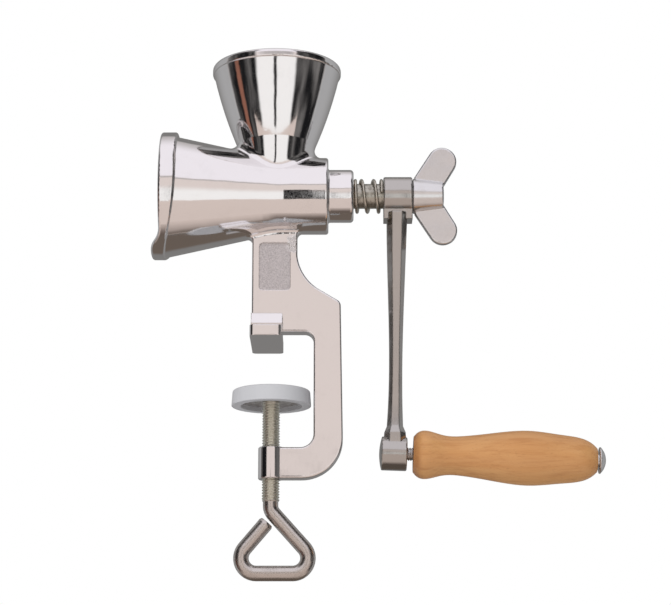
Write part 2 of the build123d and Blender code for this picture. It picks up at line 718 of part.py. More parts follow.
with BuildPart() as crank_arm:
    # tapered arm
    arm_places = [
        (skirt_z + 3, arm_top_x, arm_top_w / 2 + 0.2, arm_top_t / 2 + 0.2),
        (skirt_z - 7, arm_top_x - 0.2, arm_top_w / 2, arm_top_t / 2),
        (skirt_z - 27, arm_top_x - 0.5, arm_mid_w / 2, arm_mid_t / 2),
        (shoulder_from_z, arm_low_x, arm_low_w / 2, arm_low_t / 2),
    ]
    for z, x, half_x, half_y in arm_places:
        with BuildSketch(Plane(origin=(x, 0, z), x_dir=(1, 0, 0), z_dir=(0, 0, 1))):
            Polygon(*eight_corners(half_x, half_y), align=None)
    loft()
    # it widens into the eye
    for z, half_x, half_y in [
        (shoulder_from_z + 0.2, arm_low_w / 2, arm_low_t / 2),
        (shoulder_from_z - 2.6, shoulder_w / 2 - 0.5, shoulder_t / 2 - 0.4),
        (eye_z + 2, shoulder_w / 2, shoulder_t / 2),
    ]:
        with BuildSketch(Plane(origin=(arm_low_x, 0, z), x_dir=(1, 0, 0), z_dir=(0, 0, 1))):
            Polygon(*eight_corners(half_x, half_y), align=None)
    loft(ruled=True)
    # eye on the handle's axis, its outer face bulging
    with BuildSketch(handle):
        with BuildLine():
            Line((-eye_w / 2 - eye_dome, 0), (eye_w / 2, 0))
            Line((eye_w / 2, 0), (eye_w / 2, eye_r))
            Line((eye_w / 2, eye_r), (-eye_w / 2, eye_r))
            TangentArc((-eye_w / 2 - eye_dome, 0), (-eye_w / 2, eye_r), tangent=(0, 1))
        make_face()
        fillet(vertices().sort_by_distance((eye_w / 2, eye_r))[0], 0.7)
        fillet(vertices().sort_by_distance((-eye_w / 2, eye_r))[0], 0.6)
    revolve(axis=handle_axis)
    # hub and its skirt
    with BuildSketch(Plane(origin=(0, 0, barrel_axis_z), x_dir=(1, 0, 0), z_dir=(0, 0, -1))):
        with Locations((hub_x + hub_w / 2, 0)):
            Rectangle(hub_w, skirt_t)
    extrude(amount=skirt_drop)
    with BuildSketch(along):
        with Locations((hub_x + hub_w / 2, hub_r / 2)):
            Rectangle(hub_w, hub_r)
        rounds = vertices().filter_by(lambda v: v.Y > hub_r - 0.1)
        fillet(rounds, 0.8)
    revolve(axis=shaft_axis)
    # room for the journal, then the square hole
    with BuildSketch(across(hub_x - 1)):
        Circle(counterbore_r)
    extrude(amount=hub_counterbore + 1, mode=Mode.SUBTRACT)
    with BuildSketch(across(hub_x)):
        Rectangle(square_af + 2 * square_gap, square_af + 2 * square_gap)
    extrude(amount=hub_w + 1, mode=Mode.SUBTRACT)
    # threaded hole of the handle's bolt, blind
    mouth_of_hole = handle.from_local_coords((eye_w / 2 + 1, 0, 0))
    with BuildSketch(Plane(origin=mouth_of_hole, z_dir=handle.x_dir)):
        Circle(bolt_r + bolt_hole_gap)
    extrude(amount=-(eye_w - 1.2), mode=Mode.SUBTRACT)
crank_arm.part.label = "crank_arm"
export_step(crank_arm.part, "parts/crank_arm.step")

# ---------------------------------------------------------------- wing nut
with BuildPart() as wing_nut:
    # wings, one flat outline above and one below the shaft
    with BuildSketch(along):
        lobe_x = nut_x + wing_reach - wing_lobe_r
        lobe_y = wing_span_r - wing_lobe_r
        with BuildLine():
            CenterArc((lobe_x, lobe_y), wing_lobe_r, 0, 360)
            Polyline((nut_x + 0.8, 3), (nut_x + 0.8, 8.8), (nut_x + nut_w - 0.6, 7), (nut_x + nut_w - 0.6, 3))
        make_hull()
        mirror(about=Plane.XZ)
    extrude(amount=wing_t / 2, both=True)
    fillet(edges().filter_by(lambda e: abs(abs(e.center().Y) - wing_t / 2) < 0.01), 0.9)
    # threaded barrel with a slightly domed end
    with BuildSketch(along):
        with BuildLine():
            Line((nut_x, 0), (nut_x, nut_inner_r))
            Line((nut_x, nut_inner_r), (nut_x + nut_w, nut_outer_r))
            TangentArc((nut_x + nut_w + nut_dome, 0), (nut_x + nut_w, nut_outer_r), tangent=(0, 1))
            Line((nut_x + nut_w + nut_dome, 0), (nut_x, 0))
        make_face()
        fillet(vertices().sort_by_distance((nut_x, nut_inner_r))[0], 0.6)
        fillet(vertices().sort_by_distance((nut_x + nut_w, nut_outer_r))[0], 0.8)
    revolve(axis=shaft_axis)
    with BuildSketch(across(nut_x - 1)):
        Circle(tail_r + nut_thread_gap)
    extrude(amount=nut_w + 3, mode=Mode.SUBTRACT)
wing_nut.part.label = "wing_nut"
export_step(wing_nut.part, "parts/wing_nut.step")

# ---------------------------------------------------------------- handle bolt
with BuildPart() as handle_bolt:
    with BuildSketch(handle):
        with BuildLine():
            head_s = grip_to + bolt_float
            Line((-eye_w / 2 + 2.6, 0), (-eye_w / 2 + 2.6, bolt_r - 0.6))
            Line((-eye_w / 2 + 2.6, bolt_r - 0.6), (-eye_w / 2 + 3.2, bolt_r))
            Line((-eye_w / 2 + 3.2, bolt_r), (head_s, bolt_r))
            Line((head_s, bolt_r), (head_s, bolt_head_r))
            Line((head_s, bolt_head_r), (head_s + 0.6, bolt_head_r))
            TangentArc((head_s + bolt_head_h, 0), (head_s + 0.6, bolt_head_r), tangent=(0, 1))
            Line((head_s + bolt_head_h, 0), (-eye_w / 2 + 2.6, 0))
        make_face()
    revolve(axis=handle_axis)
handle_bolt.part.label = "handle_bolt"
export_step(handle_bolt.part, "parts/handle_bolt.step")

# ---------------------------------------------------------------- handle grip
with BuildPart() as handle_grip:
    with BuildSketch(handle):
        with BuildLine():
            bore_r = bolt_r + grip_bore_gap
            Spline(
                (grip_from + 0.4, grip_end_r),
                (grip_from + 0.035 * grip_len, grip_front_r),
                (grip_from + 0.16 * grip_len, grip_waist_r + 0.2),
                (grip_from + 0.26 * grip_len, grip_waist_r),
                (grip_from + 0.42 * grip_len, grip_belly_r - 1.7),
                (grip_from + 0.63 * grip_len, grip_belly_r),
                (grip_from + 0.81 * grip_len, grip_belly_r - 1.4),
                (grip_from + 0.96 * grip_len, grip_tail_r + 0.5),
                (grip_to - 0.3, grip_tail_r - 1.9),
            )
            Line((grip_to - 0.3, grip_tail_r - 1.9), (grip_to, bolt_head_r - 0.6))
            Line((grip_to, bolt_head_r - 0.6), (grip_to, bore_r))
            Line((grip_to, bore_r), (grip_from, bore_r))
            Line((grip_from, bore_r), (grip_from, grip_end_r - 0.4))
            Line((grip_from, grip_end_r - 0.4), (grip_from + 0.4, grip_end_r))
        make_face()
    revolve(axis=handle_axis)
handle_grip.part.label = "handle_grip"
export_step(handle_grip.part, "parts/handle_grip.step")

# ---------------------------------------------------------------- clamp screw
with BuildPart() as clamp_screw:
    # threaded part with the peened tip
    with BuildSketch(front):
        with BuildLine():
            Polyline(
                (0, disc_top_z + tip_head_h),
                (tip_head_r - 0.5, disc_top_z + tip_head_h),
                (tip_head_r, disc_top_z + tip_head_h - 0.5),
                (tip_head_r, disc_top_z + disc_gap),
                (tip_neck_r, disc_top_z + disc_gap),
                (tip_neck_r, disc_bottom_z - disc_gap),
                (screw_r - 0.5, disc_bottom_z - disc_gap),
                (screw_r, disc_bottom_z - disc_gap - 0.5),
                (screw_r, thread_bottom_z + 0.6),
                (rod_r, thread_bottom_z),
                (0, thread_bottom_z),
                close=True,
            )
        make_face()
    revolve(axis=Axis.Z)
    # the plain rod, bent into a three-cornered loop
    with BuildLine(front) as loop_line:
        FilletPolyline(
            (0, thread_bottom_z + 0.5),
            (0, loop_bend_z),
            (loop_right_x, loop_z),
            (loop_left_x, loop_z),
            (loop_end_x, loop_end_z),
            radius=[loop_neck_r, loop_corner_r, loop_corner_r],
        )
    with BuildSketch(Plane.XY.offset(thread_bottom_z + 0.5)):
        Circle(rod_r)
    sweep(path=loop_line.wire())
    flat_ends = faces().filter_by(GeomType.PLANE)
    fillet(flat_ends.sort_by_distance((loop_end_x, 0, loop_end_z))[0].edges(), 0.5)
clamp_screw.part.label = "clamp_screw"
export_step(clamp_screw.part, "parts/clamp_screw.step")

# ---------------------------------------------------------------- pad disc
with BuildPart() as pad_disc:
    with BuildSketch(Plane.XY.offset(disc_bottom_z)):
        Circle(disc_r)
        Circle(tip_neck_r + disc_gap, mode=Mode.SUBTRACT)
    extrude(amount=disc_t)
pad_disc.part.label = "pad_disc"
export_step(pad_disc.part, "parts/pad_disc.step")

# ---------------------------------------------------------------- pad cap
with BuildPart() as pad_cap:
    with BuildSketch(front):
        with BuildLine():
            Polyline(
                (0, disc_top_z + pad_pocket),
                (pad_pocket_r, disc_top_z + pad_pocket),
                (pad_pocket_r, disc_top_z),
                (disc_r + disc_gap, disc_top_z),
                (disc_r + disc_gap, disc_bottom_z),
                (pad_recess_r, disc_bottom_z),
                (pad_recess_r, pad_bottom_z),
                (pad_r, pad_bottom_z),
                (pad_r - pad_draft, pad_top_z),
                (0, pad_top_z),
                close=True,
            )
        make_face()
        fillet(vertices().sort_by_distance((pad_r - pad_draft, pad_top_z))[0], pad_edge)
        fillet(vertices().sort_by_distance((pad_r, pad_bottom_z))[0], 0.4)
    revolve(axis=Axis.Z)
pad_cap.part.label = "pad_cap"
export_step(pad_cap.part, "parts/pad_cap.step")
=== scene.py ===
"""Looks of a hand crank grinder with a table clamp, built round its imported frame."""

import json
import math

import bpy
import numpy as np
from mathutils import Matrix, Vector


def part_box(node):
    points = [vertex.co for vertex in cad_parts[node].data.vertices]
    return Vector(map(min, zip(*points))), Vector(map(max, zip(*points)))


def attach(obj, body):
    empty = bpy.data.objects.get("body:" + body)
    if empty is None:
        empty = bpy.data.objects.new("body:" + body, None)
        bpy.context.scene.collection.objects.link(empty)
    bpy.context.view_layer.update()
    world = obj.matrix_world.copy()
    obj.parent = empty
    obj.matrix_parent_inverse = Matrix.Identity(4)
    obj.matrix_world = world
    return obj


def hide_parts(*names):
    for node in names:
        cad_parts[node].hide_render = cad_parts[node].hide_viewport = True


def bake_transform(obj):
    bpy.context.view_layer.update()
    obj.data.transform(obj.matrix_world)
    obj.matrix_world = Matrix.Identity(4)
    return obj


bl_info = {
    "name": "Hand Crank Grinder",
    "version": (1, 0, 0),
    "blender": (4, 5, 0),
    "location": "View3D > Sidebar > Grinder",
    "description": "Makes the grinder's threaded and wound pieces, its finishes and its stage",
    "category": "Add Mesh",
}

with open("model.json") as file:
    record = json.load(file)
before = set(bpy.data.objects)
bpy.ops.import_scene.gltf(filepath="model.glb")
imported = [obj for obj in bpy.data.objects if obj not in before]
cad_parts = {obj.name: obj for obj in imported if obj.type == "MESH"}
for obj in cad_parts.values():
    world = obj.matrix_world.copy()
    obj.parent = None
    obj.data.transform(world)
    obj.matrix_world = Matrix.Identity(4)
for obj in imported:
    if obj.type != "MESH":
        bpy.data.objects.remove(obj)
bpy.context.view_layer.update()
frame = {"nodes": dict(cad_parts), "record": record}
JOINTS = {joint["name"]: joint for joint in frame["record"]["behaviour"]["joints"]}

MM = 0.001
X, Y, Z = np.eye(3)
SHAFT = np.array(JOINTS["crank_turn"]["pos_m"])
EYE = np.array(JOINTS["handle_spin"]["pos_m"])
HANDLE = np.array(JOINTS["handle_spin"]["axis"])
HANDLE_DROOP = math.atan2(-HANDLE[2], HANDLE[0])

SPRING_FROM = 37.3 * MM      # face of the rear boss
SPRING_TO = 51.1 * MM        # face of the crank's hub
DISC_BOTTOM = -26.6 * MM
ROD_R = 3.45 * MM
THREAD_END = -72.1 * MM
STEPS = 64                   # points round the screw and the bolt
FLOOR_Z = -0.35
FOCAL_PIXELS, FRAME_PIXELS = 2200.0, 671.0
CAMERA_PLACE = (0.0290, -0.9768, -0.2149)
CAMERA_TILT = 13.5
SHADED = (("Base Color", "Colour"), ("Roughness", "Roughness"), ("Normal", "Normal"))


def box(node):
    """Lowest and highest corner of a node, in metres."""
    lowest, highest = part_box(node)
    return np.array(lowest), np.array(highest)


# ------------------------------------------------------------------- surfaces


def net(name, points):
    """Closed mesh of a grid of points, rows by columns.

    Each cell of the grid is one face, and the last column joins the first. A fan round
    the middle of the first row and of the last row closes the two ends.
    """
    rows, columns = points.shape[:2]
    number = np.arange(rows * columns).reshape(rows, columns)
    beside = np.roll(number, -1, axis=1)
    quads = np.stack([number[:-1], beside[:-1], beside[1:], number[1:]], -1)
    middles = rows * columns, rows * columns + 1
    first = np.stack([np.full(columns, middles[0]), beside[0], number[0]], -1)
    last = np.stack([np.full(columns, middles[1]), number[-1], beside[-1]], -1)
    places = np.vstack([points.reshape(-1, 3), points[0].mean(0), points[-1].mean(0)])
    faces = quads.reshape(-1, 4).tolist() + first.tolist() + last.tolist()
    mesh = bpy.data.meshes.new(name)
    mesh.from_pydata(places.tolist(), [], faces)
    mesh.update()
    mesh.polygons.foreach_set("use_smooth", [True] * len(mesh.polygons))
    mesh.set_sharp_from_angle(angle=math.radians(35))
    piece = bpy.data.objects.new(name, mesh)
    bpy.context.scene.collection.objects.link(piece)
    return piece


def pipe(name, path, headings, side, radii, steps):
    """Tube of changing radius along a path.

    At each point of the path a circle stands square to its heading t. b is the part of
    side that is square to t, and n = b x t. A point of the surface is
    path + radius * (n cos a + b sin a), with a once round in the given steps. radii has
    one number for each point of the path, or one for each point and step.
    """
    b = side - headings * (headings @ side)[:, None]
    b /= np.linalg.norm(b, axis=1, keepdims=True)
    n = np.cross(b, headings)
    a = np.linspace(0, 2 * np.pi, steps, endpoint=False)[None, :, None]
    if radii.ndim == 1:
        radii = radii[:, None]
    ring = n[:, None, :] * np.cos(a) + b[:, None, :] * np.sin(a)
    return net(name, path[:, None, :] + radii[:, :, None] * ring)


def directions(path):
    """Unit headings along a smooth path, from each point's neighbours."""
    t = np.gradient(path, axis=0)
    return t / np.linalg.norm(t, axis=1, keepdims=True)


def evenly(outline, step):
    """Points along straight runs, no further apart than a step, with the corners kept."""
    parts = []
    for a, b in zip(outline[:-1], outline[1:]):
        count = max(1, math.ceil(np.linalg.norm(b - a) / step))
        parts.append(a + (b - a) * np.linspace(0, 1, count, endpoint=False)[:, None])
    return np.vstack([*parts, outline[-1:]])


def rounded(corners, radii, step):
    """Points along straight runs whose corners are arcs, a step apart.

    A corner between directions u and v that turns by w is cut back by r tan(w / 2) each
    way. The arc of radius r that touches both runs is start + r (u sin a + m (1 - cos a)),
    where m is the part of v square to u.
    """
    parts = [corners[:1]]
    for before, corner, after, radius in zip(corners, corners[1:], corners[2:], radii):
        u = (corner - before) / np.linalg.norm(corner - before)
        v = (after - corner) / np.linalg.norm(after - corner)
        turn = math.acos(u @ v)
        start = corner - u * radius * math.tan(turn / 2)
        m = v - u * (u @ v)
        m /= np.linalg.norm(m)
        a = np.linspace(0, turn, 60)[:, None]
        parts.append(start + radius * (u * np.sin(a) + m * (1 - np.cos(a))))
    points = np.vstack([*parts, corners[-1:]])
    run = np.r_[0, np.cumsum(np.linalg.norm(np.diff(points, axis=0), axis=1))]
    even = np.linspace(0, run[-1], round(run[-1] / step) + 1)
    return np.stack([np.interp(even, run, points[:, i]) for i in range(3)], -1)


def thread(along, steps, pitch, depth, start, end):
    """How far a thread's groove lies inside its crest, for each point along and step round.

    A triangle wave of the pitch, flattened at crest and root, is shifted by one pitch in a
    turn, and fades in and out over one pitch at both ends.
    """
    round_ = np.arange(steps)[None, :] / steps
    wave = np.abs(2 * ((along[:, None] / pitch - round_) % 1.0) - 1)
    groove = np.clip(1.3 * wave - 0.15, 0, 1)
    fade = np.clip(np.minimum(along - start, end - along) / pitch, 0, 1)
    return depth * groove * fade[:, None]


# ------------------------------------------------------------------- node wiring


class Wiring:
    """Short hands for a node tree."""

    def __init__(self, tree):
        self.tree = tree
        tree.nodes.clear()

    def feed(self, socket, value):
        """Links a socket to another one, or sets its value."""
        if isinstance(value, bpy.types.NodeSocket):
            self.tree.links.new(value, socket)
        else:
            socket.default_value = value

    def add(self, kind, inputs=None, **settings):
        """A node with its settings, and values or links for its inputs."""
        node = self.tree.nodes.new(kind)
        for name, value in settings.items():
            setattr(node, name, value)
        for name, value in (inputs or {}).items():
            self.feed(node.inputs[name], value)
        return node

    def math(self, operation, a, b=0.0, c=0.0):
        """Output of one Math node."""
        return self.add("ShaderNodeMath", {0: a, 1: b, 2: c}, operation=operation).outputs[0]

    def ramp(self, value, start, end, first=0.0, last=1.0):
        """Smooth change from first to last while a value goes from start to end."""
        inputs = {"Value": value, "From Min": start, "From Max": end, "To Min": first, "To Max": last}
        return self.add("ShaderNodeMapRange", inputs, interpolation_type="SMOOTHSTEP").outputs[0]

    def band(self, value, start, end, soft):
        """1 between two limits and 0 outside them, with soft edges."""
        rise = self.ramp(value, start - soft, start + soft)
        fall = self.ramp(value, end - soft, end + soft, 1.0, 0.0)
        return self.math("MULTIPLY", rise, fall)

    def noise(self, place, scale, detail=3.0, roughness=0.55):
        """Grey noise, with its scale per metre."""
        inputs = {"Vector": place, "Scale": scale, "Detail": detail, "Roughness": roughness}
        return self.add("ShaderNodeTexNoise", inputs).outputs[0]

    def mix(self, factor, a, b, blend="MIX"):
        """Mix of two colours."""
        node = self.add("ShaderNodeMix", data_type="RGBA", blend_type=blend)
        for index, value in ((0, factor), (6, a), (7, b)):
            self.feed(node.inputs[index], value)
        return node.outputs[2]

    def place(self, scale=(1, 1, 1), turn=(0, 0, 0)):
        """Object coordinates, stretched and turned."""
        place = self.add("ShaderNodeTexCoord").outputs["Object"]
        return self.add("ShaderNodeMapping", {"Vector": place, "Scale": scale, "Rotation": turn}).outputs[0]

    def bump(self, height, strength, distance, normal=None):
        """Normal of a height, on top of another normal."""
        inputs = {"Height": height, "Strength": strength, "Distance": distance}
        if normal is not None:
            inputs["Normal"] = normal
        return self.add("ShaderNodeBump", inputs).outputs[0]


COLOUR, NUMBER, VECTOR = "NodeSocketColor", "NodeSocketFloat", "NodeSocketVector"


def group(name, inputs, outputs):
    """Empty shader group; gives its tree, its wiring and the sockets that come in."""
    tree = bpy.data.node_groups.new(name, "ShaderNodeTree")
    for socket, kind in inputs.items():
        tree.interface.new_socket(socket, in_out="INPUT", socket_type=kind)
    for socket, kind in outputs.items():
        tree.interface.new_socket(socket, in_out="OUTPUT", socket_type=kind)
    wires = Wiring(tree)
    return tree, wires, wires.add("NodeGroupInput").outputs


FINISH = {"Colour": COLOUR, "Roughness": NUMBER, "Normal": VECTOR}


def buffed_group():
    """Hand-buffed casting: faint waves, fine scratches and a few dull stains."""
    tree, w, given = group(
        "buffed metal",
        {
            "Colour": COLOUR, "Roughness": NUMBER, "Waves": NUMBER, "Scratches": NUMBER, "Stains": NUMBER,
            "Edges": VECTOR,
        },
        FINISH,
    )
    plain = w.place()
    waves = w.noise(plain, 75.0, 1.5)
    scratches = w.noise(w.place((1.0, 1.0, 0.1), (0.3, 0.5, 0.0)), 3000.0, 3.0, 0.7)
    clouds = w.noise(plain, 140.0, 5.0, 0.65)
    stain = w.math("MULTIPLY", w.ramp(clouds, 0.50, 0.72), given["Stains"])
    colour = w.mix(stain, given["Colour"], (0.46, 0.43, 0.40, 1))
    streaks = w.math("MULTIPLY", w.ramp(scratches, 0.3, 0.8), given["Scratches"])
    rough = w.math("ADD", w.math("MULTIPLY_ADD", stain, 0.30, given["Roughness"]), streaks)
    normal = w.bump(waves, given["Waves"], 0.0008, given["Edges"])
    normal = w.bump(scratches, given["Scratches"], 0.00004, normal)
    w.add("NodeGroupOutput", {"Colour": colour, "Roughness": rough, "Normal": normal})
    return tree


def turned_group():
    """Marks that a lathe leaves: fine rings along X, with darker grooves."""
    tree, w, given = group(
        "lathe marks", {"Colour": COLOUR, "Roughness": NUMBER, "Depth": NUMBER, "Grime": NUMBER}, FINISH
    )
    rings = w.noise(w.place((1.0, 0.02, 0.02)), 2600.0, 3.0, 0.7)
    clouds = w.noise(w.place(), 420.0, 4.0, 0.6)
    grime = w.math("MULTIPLY", w.ramp(clouds, 0.42, 0.70), given["Grime"])
    colour = w.mix(grime, given["Colour"], (0.10, 0.09, 0.07, 1))
    rough = w.math("MULTIPLY_ADD", grime, 0.25, given["Roughness"])
    rough = w.math("MULTIPLY_ADD", w.ramp(rings, 0.3, 0.7, -0.5, 0.5), 0.12, rough)
    normal = w.bump(rings, given["Depth"], 0.0001)
    w.add("NodeGroupOutput", {"Colour": colour, "Roughness": rough, "Normal": normal})
    return tree


def pitted_group():
    """Grain of a rough casting or a shot-blasted face."""
    tree, w, given = group(
        "pitted metal", {"Colour": COLOUR, "Roughness": NUMBER, "Depth": NUMBER, "Grain": NUMBER}, FINISH
    )
    plain = w.place()
    grain = w.noise(plain, given["Grain"], 4.0, 0.7)
    spread = w.ramp(grain, 0.3, 0.7, 0.72, 1.15)
    colour = w.mix(1.0, given["Colour"], spread, "MULTIPLY")
    rough = w.math("MULTIPLY_ADD", grain, 0.2, given["Roughness"])
    normal = w.bump(grain, given["Depth"], 0.0004)
    w.add("NodeGroupOutput", {"Colour": colour, "Roughness": rough, "Normal": normal})
    return tree


GROUPS = {}


def shared(maker):
    """A node group, made once."""
    if maker.__name__ not in GROUPS:
        GROUPS[maker.__name__] = maker()
    return GROUPS[maker.__name__]


def material(name, metallic):
    """Empty material; gives it, its wiring and its shader."""
    made = bpy.data.materials.new(name)
    made.use_nodes = True
    w = Wiring(made.node_tree)
    shader = w.add("ShaderNodeBsdfPrincipled", {"Metallic": metallic})
    w.add("ShaderNodeOutputMaterial", {"Surface": shader.outputs[0]})
    return made, w, shader.inputs


def wear(w, sockets, maker, **values):
    """Puts a shared group's colour, roughness and normal on a shader."""
    node = w.add("ShaderNodeGroup", values, node_tree=shared(maker))
    for ours, theirs in SHADED:
        w.feed(sockets[ours], node.outputs[theirs])
    return node.outputs


def soft_edges(w, radius):
    """Normal that rounds a piece's edges by a radius."""
    return w.add("ShaderNodeBevel", {"Radius": radius}, samples=6).outputs[0]


def metal(name, maker, colour, edges=None, **values):
    """Metal with one of the shared finishes, and its edges rounded by a radius."""
    made, w, sockets = material(name, 1.0)
    if edges:
        values["Edges"] = soft_edges(w, edges)
    wear(w, sockets, maker, Colour=(*colour, 1), **values)
    return made


def dress(node, made):
    """Gives a node of the frame a material in all its slots."""
    for slot in frame["nodes"][node].material_slots:
        slot.material = made


def pitted(w, colour, roughness, depth, grain):
    """Outputs of the pitted group with these values."""
    values = {"Colour": colour, "Roughness": roughness, "Depth": depth, "Grain": grain}
    return w.add("ShaderNodeGroup", values, node_tree=shared(pitted_group)).outputs


def length_2d(w, a, b):
    """Length of a flat vector."""
    return w.math("SQRT", w.math("ADD", w.math("MULTIPLY", a, a), w.math("MULTIPLY", b, b)))


def body_material(finish, sizes):
    """Buffed casting with a shot-blasted sunk panel, an unpolished patch and rough inner walls."""
    made, w, sockets = material("casting", 1.0)
    polished = wear(
        w, sockets, buffed_group, Colour=(*finish.casting, 1), Roughness=0.055, Waves=0.18,
        Scratches=0.06, Stains=0.05, Edges=soft_edges(w, 0.6 * MM),
    )
    blasted = pitted(w, (0.70, 0.67, 0.67, 1), 0.30, 0.5, 1500.0)
    rough = pitted(w, (0.42, 0.41, 0.40, 1), 0.36, 0.5, 900.0)
    place = w.add("ShaderNodeSeparateXYZ", {0: w.place()}).outputs
    panel = w.band(place[0], sizes.panel_left, sizes.panel_right, 0.0002)
    panel = w.math("MULTIPLY", panel, w.band(place[2], sizes.panel_bottom, sizes.panel_top, 0.0002))
    panel = w.math("MULTIPLY", panel, w.band(place[1], -0.00395, -0.0025, 0.0001))
    # distance from the shaft, against the bell's inner wall at that place
    drop = w.math("SUBTRACT", place[2], float(SHAFT[2]))
    distance = length_2d(w, drop, place[1])
    wall = w.math("MAXIMUM", w.math("MULTIPLY_ADD", place[0], -0.218, 0.0153), 0.0145)
    inner = w.math("LESS_THAN", distance, wall)
    inner = w.math("MULTIPLY", inner, w.math("GREATER_THAN", place[0], -0.0500))
    inner = w.math("MULTIPLY", inner, w.math("LESS_THAN", place[0], 0.0225))
    # unpolished patch beside the panel, with a ragged edge
    across = w.math("SUBTRACT", place[0], sizes.patch_x)
    above = w.math("MULTIPLY", w.math("SUBTRACT", place[2], sizes.patch_z), 0.62)
    reach = length_2d(w, across, above)
    reach = w.math("MULTIPLY_ADD", w.noise(w.place(), 700.0, 3.0), 0.0035, reach)
    patch = w.ramp(reach, 0.0035, 0.0052, 1.0, 0.0)
    patch = w.math("MULTIPLY", patch, w.math("LESS_THAN", place[1], -0.0030))
    cast = pitted(w, (0.84, 0.82, 0.81, 1), 0.16, 0.9, 1100.0)
    for ours, theirs in SHADED:
        first = w.mix(panel, polished[theirs], blasted[theirs])
        first = w.mix(patch, first, cast[theirs])
        w.feed(sockets[ours], w.mix(inner, first, rough[theirs]))
    return made


def wood_material(finish):
    """Varnished wood: grain along the handle, fine pores, and a scorched collar end."""
    made, w, sockets = material("grip wood", 0.0)
    turn = (0.0, -HANDLE_DROOP, 0.0)
    along = w.place((0.055, 1.0, 1.0), turn)
    grain = w.noise(along, 620.0, 4.0, 0.6)
    figure = w.noise(w.place((0.10, 1.0, 1.0), turn), 130.0, 3.0, 0.5)
    pores = w.noise(w.place((0.03, 1.0, 1.0), turn), 4200.0, 2.0, 0.5)
    pale = (*finish.wood, 1)
    colour = w.mix(w.ramp(figure, 0.30, 0.72, 0.0, 0.75), pale, (0.47, 0.205, 0.060, 1))
    colour = w.mix(w.ramp(grain, 0.42, 0.78, 0.0, 0.55), colour, (0.36, 0.14, 0.035, 1))
    colour = w.mix(w.ramp(pores, 0.60, 0.76, 0.0, 0.45), colour, (0.22, 0.08, 0.02, 1))
    start = box("handle_grip")[0][0]
    place = w.add("ShaderNodeSeparateXYZ", {0: w.place()}).outputs
    patch = w.noise(w.place(), 110.0, 3.0, 0.6)
    edge = w.math("ADD", place[0], w.math("MULTIPLY", patch, 0.006))
    scorch = w.ramp(edge, start + 0.0035, start + 0.0085, 0.55, 0.0)
    colour = w.mix(scorch, colour, (0.20, 0.065, 0.015, 1))
    w.feed(sockets["Base Color"], colour)
    w.feed(sockets["Roughness"], w.ramp(grain, 0.3, 0.8, 0.34, 0.46))
    w.feed(sockets["Normal"], w.bump(pores, 0.25, 0.00006, w.bump(grain, 0.2, 0.0001)))
    sockets["Coat Weight"].default_value = 0.15
    sockets["Coat Roughness"].default_value = 0.3
    return made


def plastic_material(finish):
    """Light grey moulded plastic with a fine satin texture and scuffs."""
    made, w, sockets = material("pad plastic", 0.0)
    texture = w.noise(w.place(), 2400.0, 2.0, 0.6)
    scuffs = w.noise(w.place((1.0, 1.0, 0.3)), 190.0, 5.0, 0.65)
    colour = w.mix(w.ramp(scuffs, 0.5, 0.8, 0.0, 0.35), (*finish.plastic, 1), (0.36, 0.36, 0.37, 1))
    w.feed(sockets["Base Color"], colour)
    w.feed(sockets["Roughness"], w.ramp(scuffs, 0.3, 0.8, 0.38, 0.52))
    w.feed(sockets["Normal"], w.bump(texture, 0.15, 0.00005))
    return made


# ------------------------------------------------------------------- settings


def size(name, description, default):
    """Length setting."""
    return bpy.props.FloatProperty(
        name=name, description=description, default=default, unit="LENGTH", precision=5
    )


class GrinderSizes(bpy.types.PropertyGroup):
    """Sizes of the pieces that are made here."""

    wire: size("Spring wire", "Diameter of the spring's wire", 1.5 * MM)
    turns: bpy.props.FloatProperty(name="Spring turns", description="Turns of the spring", default=3.25)
    clamp_pitch: size("Clamp pitch", "Pitch of the clamp screw's thread", 1.25 * MM)
    clamp_depth: size("Clamp thread", "Depth of the clamp screw's thread", 0.55 * MM)
    bolt_pitch: size("Bolt pitch", "Pitch of the handle bolt's thread", 1.0 * MM)
    bolt_depth: size("Bolt thread", "Depth of the handle bolt's thread", 0.5 * MM)
    panel_left: size("Panel left", "Left edge of the sunk panel", -5.8 * MM)
    panel_right: size("Panel right", "Right edge of the sunk panel", 8.3 * MM)
    panel_bottom: size("Panel bottom", "Lower edge of the sunk panel", 24.6 * MM)
    panel_top: size("Panel top", "Upper edge of the sunk panel", 46.8 * MM)
    patch_x: size("Patch X", "Middle of the unpolished patch", 9.6 * MM)
    patch_z: size("Patch Z", "Height of the unpolished patch", 46.5 * MM)


def tint(name, description, default):
    """Colour setting."""
    return bpy.props.FloatVectorProperty(
        name=name, description=description, default=default, min=0, max=1, size=3, subtype="COLOR"
    )


class GrinderFinish(bpy.types.PropertyGroup):
    """Colours of the finishes."""

    casting: tint("Casting", "Polished casting", (0.86, 0.845, 0.845))
    arm: tint("Crank arm", "Buffed crank arm", (0.50, 0.485, 0.465))
    nut: tint("Wing nut", "Satin wing nut", (0.74, 0.74, 0.745))
    turned: tint("Turned steel", "Shaft and turned parts", (0.50, 0.485, 0.43))
    spring: tint("Spring steel", "Pressure spring", (0.58, 0.55, 0.48))
    # painted light: the threads are the rod's steel, made lighter to make up for the shade in their grooves
    thread: tint("Threads", "Threads of the clamp screw", (0.80, 0.80, 0.72))
    rod: tint("Rod", "Plain rod of the clamp screw", (0.62, 0.585, 0.555))
    disc: tint("Disc", "Disc under the pad's cap", (0.80, 0.79, 0.78))
    wood: tint("Wood", "Pale wood of the grip", (0.535, 0.272, 0.100))
    plastic: tint("Plastic", "Cap of the clamp's pad", (0.47, 0.47, 0.485))


# ------------------------------------------------------------------- operators


